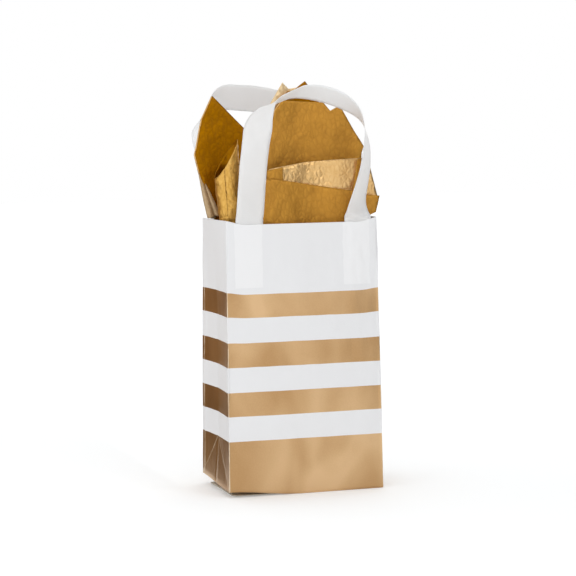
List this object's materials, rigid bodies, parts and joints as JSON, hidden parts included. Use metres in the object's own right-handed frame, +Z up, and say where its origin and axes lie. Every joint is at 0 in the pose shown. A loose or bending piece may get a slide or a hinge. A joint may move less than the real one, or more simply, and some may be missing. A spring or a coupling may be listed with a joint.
{
  "type": "gift bag",
  "caption": "Small gusseted film gift bag with gold stripes, soft loop handles, a turned-down hem, a base board and folded gold tissue in its mouth.",
  "frame": {"origin": "middle of the bag's underside, on the surface it stands on", "axes": "+Z up from the base to the mouth, +X across the front to the right, +Y from the front panel to the back panel"},
  "size_m": [0.1415, 0.1209, 0.321],
  "materials": {
    "printed_film": "frosted white film printed with satin gold stripes",
    "gold_film": "satin metallic gold print on film",
    "white_film": "frosted white film",
    "handle_film": "soft matt white film strip",
    "board": "grey-white paperboard",
    "gold_tissue": "gold tissue paper, metallic on its outer side"
  },
  "bodies": {
    "bag": {"front_panel": "printed_film", "back_panel": "printed_film", "back_seam": "printed_film", "left_gusset": "printed_film", "right_gusset": "printed_film", "left_bottom_ear": "gold_film", "right_bottom_ear": "gold_film", "back_bottom_flap": "gold_film", "front_bottom_flap": "gold_film", "front_hem": "white_film", "back_hem": "white_film", "left_hem": "white_film", "right_hem": "white_film", "front_left_handle_tab": "handle_film", "front_right_handle_tab": "handle_film", "back_left_handle_tab": "handle_film", "back_right_handle_tab": "handle_film"},
    "front_handle": {"front_handle_loop": "handle_film"},
    "back_handle": {"back_handle_loop": "handle_film"},
    "board": {"base_board": "board"},
    "sheet_back_left": {"tissue_back_left": "gold_tissue"},
    "sheet_left_roll": {"tissue_left_roll": "gold_tissue"},
    "sheet_main": {"tissue_main": "gold_tissue"},
    "sheet_front_fold": {"tissue_front_fold": "gold_tissue"},
    "sheet_right": {"tissue_right": "gold_tissue"},
    "sheet_back_peaks": {"tissue_back_peaks": "gold_tissue"}
  },
  "joints": [
    {"name": "front_handle_swing", "type": "hinge", "parent": "bag", "child": "front_handle", "pos_m": [0, -0.03335, 0.214], "axis": [1, 0, 0], "range_deg": [-3, 145], "stiffness_Nm_per_rad": 0.006, "springref_deg": -0.63},
    {"name": "back_handle_swing", "type": "hinge", "parent": "bag", "child": "back_handle", "pos_m": [0, 0.03335, 0.214], "axis": [-1, 0, 0], "range_deg": [-18, 142], "stiffness_Nm_per_rad": 0.006, "springref_deg": -3.95},
    {"name": "board_lift", "type": "slide", "parent": "bag", "child": "board", "axis": [0, 0, 1], "range_m": [0, 0.09]},
    {"name": "tissue_back_left_lift", "type": "slide", "parent": "bag", "child": "sheet_back_left", "axis": [0, 0, 1], "range_m": [0, 0.2]},
    {"name": "tissue_left_roll_lift", "type": "slide", "parent": "bag", "child": "sheet_left_roll", "axis": [0, 0, 1], "range_m": [0, 0.2]},
    {"name": "tissue_main_lift", "type": "slide", "parent": "bag", "child": "sheet_main", "axis": [0, 0, 1], "range_m": [0, 0.2]},
    {"name": "tissue_front_fold_lift", "type": "slide", "parent": "bag", "child": "sheet_front_fold", "axis": [0, 0, 1], "range_m": [0, 0.2]},
    {"name": "tissue_right_lift", "type": "slide", "parent": "bag", "child": "sheet_right", "axis": [0, 0, 1], "range_m": [0, 0.2]},
    {"name": "tissue_back_peaks_lift", "type": "slide", "parent": "bag", "child": "sheet_back_peaks", "axis": [0, 0, 1], "range_m": [0, 0.2]}
  ]
}
